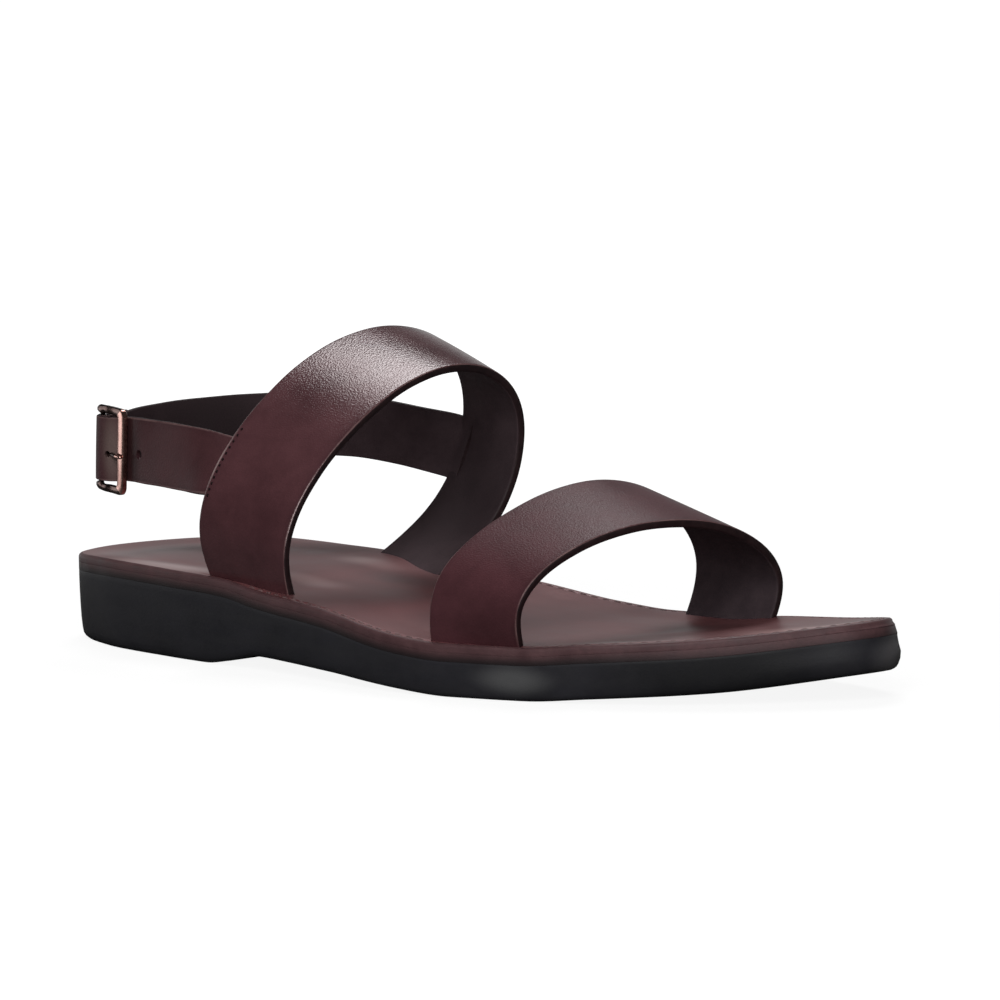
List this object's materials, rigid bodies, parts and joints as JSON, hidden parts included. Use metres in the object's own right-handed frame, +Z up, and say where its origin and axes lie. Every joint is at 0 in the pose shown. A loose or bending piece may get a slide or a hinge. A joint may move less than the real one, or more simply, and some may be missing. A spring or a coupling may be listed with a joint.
{
  "type": "strap sandal",
  "caption": "Right strap sandal with a leather footbed on a low-heeled rubber sole, a toe strap, an instep strap and a buckled heel sling.",
  "frame": {"origin": "on the floor under the middle of the sandal's box", "axes": "+X from heel to toe, +Y to the inner side of the right foot, +Z up"},
  "size_m": [0.29, 0.1106, 0.0928],
  "materials": {
    "rubber": "matte moulded black rubber",
    "edge_leather": "burnished dark edge",
    "footbed_leather": "waxed dark burgundy-brown, slightly worn",
    "strap_leather": "smooth dark burgundy with a soft sheen",
    "buckle_metal": "polished dark copper plating"
  },
  "bodies": {
    "root": {"outsole": "rubber", "midsole": "edge_leather", "insole": "footbed_leather", "toe_strap": "strap_leather", "upper": "strap_leather", "buckle_frame": "buckle_metal", "buckle_prong": "buckle_metal"}
  },
  "joints": []
}
